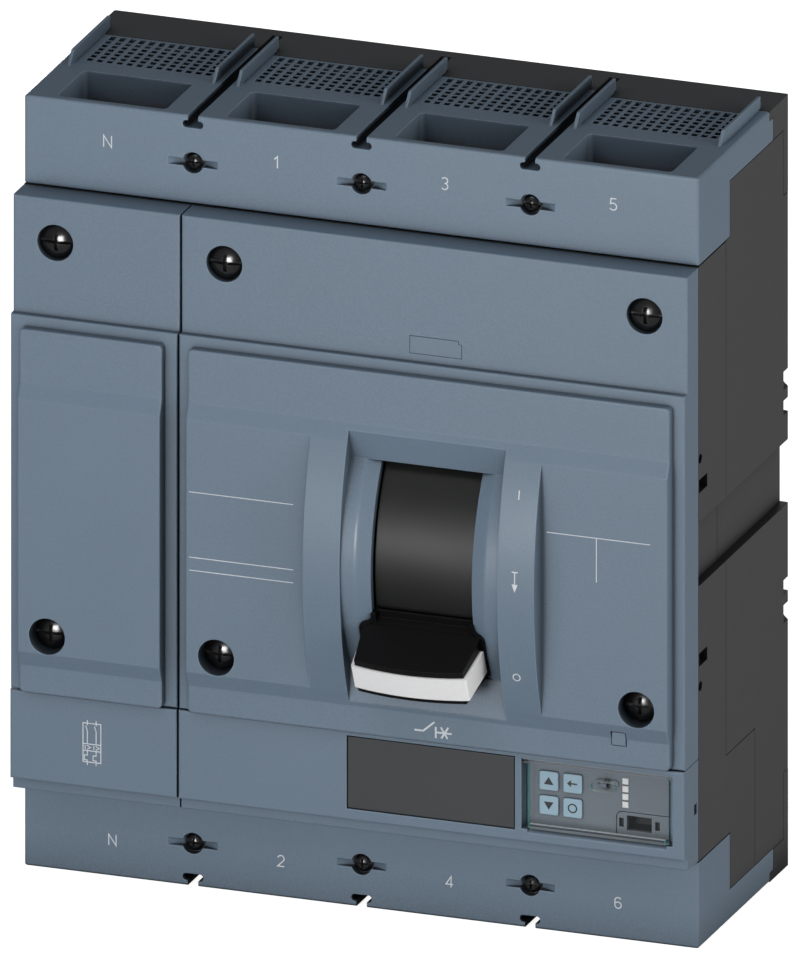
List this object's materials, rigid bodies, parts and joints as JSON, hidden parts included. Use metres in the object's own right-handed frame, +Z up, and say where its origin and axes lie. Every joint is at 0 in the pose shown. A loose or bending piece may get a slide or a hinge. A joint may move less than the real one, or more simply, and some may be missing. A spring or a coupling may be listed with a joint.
{
  "type": "moulded case circuit breaker",
  "caption": "Moulded case circuit breaker with a toggle handle, electronic trip unit, vented terminal covers and an inner contact mechanism.",
  "frame": {"origin": "middle of the rear mounting face, half way up and half way across the case", "axes": "+Z up towards the line terminals, +Y back into the panel it is mounted on, +X to the right of someone facing the handle"},
  "size_m": [0.28, 0.1479, 0.3252],
  "materials": {
    "case_black": "fine moulded grain",
    "case_grey": "fine moulded grain",
    "cover_grey": "fine moulded grain",
    "tab_grey": "satin",
    "display": "smooth, slightly glossy",
    "keypad": "satin",
    "key_blue": "satin",
    "lamp_white": "milky light guide",
    "socket_black": "satin",
    "flap_clear": "clear polycarbonate",
    "inner_plastic": "satin",
    "board_green": "solder mask",
    "handle_black": "satin",
    "cap_white": "satin",
    "steel": "zinc plated",
    "shaft_brown": "thermoset moulding",
    "copper": "bare copper",
    "silver": "silver alloy",
    "fibre": "pressed fibre",
    "transformer": "cast resin",
    "trip_plastic": "glass-filled plastic",
    "plunger_steel": "ground steel",
    "screw_black": "black, satin"
  },
  "bodies": {
    "case": {"rear_housing": "case_black", "front_housing": "case_black", "upper_end_block": "case_black", "lower_end_block": "case_black", "upper_terminal_cover": "case_grey", "lower_terminal_cover": "case_grey", "upper_vent_grilles": "case_grey", "lower_vent_grilles": "case_grey", "main_cover": "cover_grey", "neutral_cover": "cover_grey", "trip_unit_cover": "cover_grey", "neutral_lower_cover": "cover_grey", "accessory_tab": "tab_grey", "display_window": "display", "keypad_panel": "keypad", "sealing_lug": "keypad", "test_port": "keypad", "status_lamps": "lamp_white", "test_connector": "socket_black", "trip_unit_case": "inner_plastic", "trip_circuit_board": "board_green", "mechanism_side_plates": "steel", "toggle_pivot_pins": "steel", "latch_pin": "steel", "terminal_nuts": "steel", "push_to_trip_spring": "steel", "arc_chute_plates": "steel", "line_terminals": "copper", "load_terminals": "copper", "fixed_contact_tips": "silver", "arc_chute_walls": "fibre", "current_transformers": "transformer", "trip_actuator": "transformer", "cover_screws": "screw_black", "terminal_cover_screws": "screw_black"},
    "handle": {"toggle_lever": "handle_black", "toggle_cap": "cap_white", "toggle_shutter": "handle_black", "toggle_yoke": "steel", "drive_springs": "steel"},
    "crossbar": {"contact_crossbar": "shaft_brown", "contact_arms": "copper", "moving_contact_tips": "silver"},
    "trip_bar": {"trip_bar": "trip_plastic"},
    "latch": {"latch_lever": "steel"},
    "plunger": {"actuator_plunger": "plunger_steel"},
    "trip_button": {"push_to_trip_button": "cover_grey"},
    "key_up": {"key_up": "key_blue"},
    "key_back": {"key_back": "key_blue"},
    "key_down": {"key_down": "key_blue"},
    "key_enter": {"key_enter": "key_blue"},
    "flap": {"keypad_flap": "flap_clear"}
  },
  "joints": [
    {"name": "handle_swing", "type": "hinge", "parent": "case", "child": "handle", "pos_m": [0.035, -0.054, -0.0105], "axis": [-1, 0, 0], "range_deg": [0, 46]},
    {"name": "crossbar_turn", "type": "hinge", "parent": "case", "child": "crossbar", "pos_m": [0, -0.038, -0.034], "axis": [-1, 0, 0], "range_deg": [0, 25]},
    {"name": "trip_bar_turn", "type": "hinge", "parent": "case", "child": "trip_bar", "pos_m": [0.06, -0.094, -0.05], "axis": [1, 0, 0], "range_deg": [0, 8.5]},
    {"name": "latch_turn", "type": "hinge", "parent": "case", "child": "latch", "pos_m": [0.035, -0.072, -0.044], "axis": [1, 0, 0], "range_deg": [0, 5.1]},
    {"name": "trip_button_push", "type": "slide", "parent": "case", "child": "trip_button", "axis": [0, 1, 0], "range_m": [0, 0.0028], "stiffness_N_per_m": 300, "deforming": ["push_to_trip_spring"]},
    {"name": "plunger_push", "type": "slide", "parent": "case", "child": "plunger", "axis": [0, 0, 1], "range_m": [0, 0.00105]},
    {"name": "key_up_push", "type": "slide", "parent": "case", "child": "key_up", "axis": [0, 1, 0], "range_m": [0, 0.0007], "stiffness_N_per_m": 400},
    {"name": "key_back_push", "type": "slide", "parent": "case", "child": "key_back", "axis": [0, 1, 0], "range_m": [0, 0.0007], "stiffness_N_per_m": 400},
    {"name": "key_down_push", "type": "slide", "parent": "case", "child": "key_down", "axis": [0, 1, 0], "range_m": [0, 0.0007], "stiffness_N_per_m": 400},
    {"name": "key_enter_push", "type": "slide", "parent": "case", "child": "key_enter", "axis": [0, 1, 0], "range_m": [0, 0.0007], "stiffness_N_per_m": 400},
    {"name": "flap_swing", "type": "hinge", "parent": "case", "child": "flap", "pos_m": [0.1038, -0.1175, -0.0849], "axis": [-1, 0, 0], "range_deg": [0, 95]}
  ],
  "couplings": [
    {"joint": "crossbar_turn", "follows": "handle_swing", "ratio": 0.54348},
    {"joint": "trip_bar_turn", "follows": "trip_button_push", "rad_per_m": 52.6},
    {"joint": "latch_turn", "follows": "trip_button_push", "rad_per_m": 31.6},
    {"joint": "plunger_push", "follows": "trip_button_push", "ratio": 0.368}
  ]
}
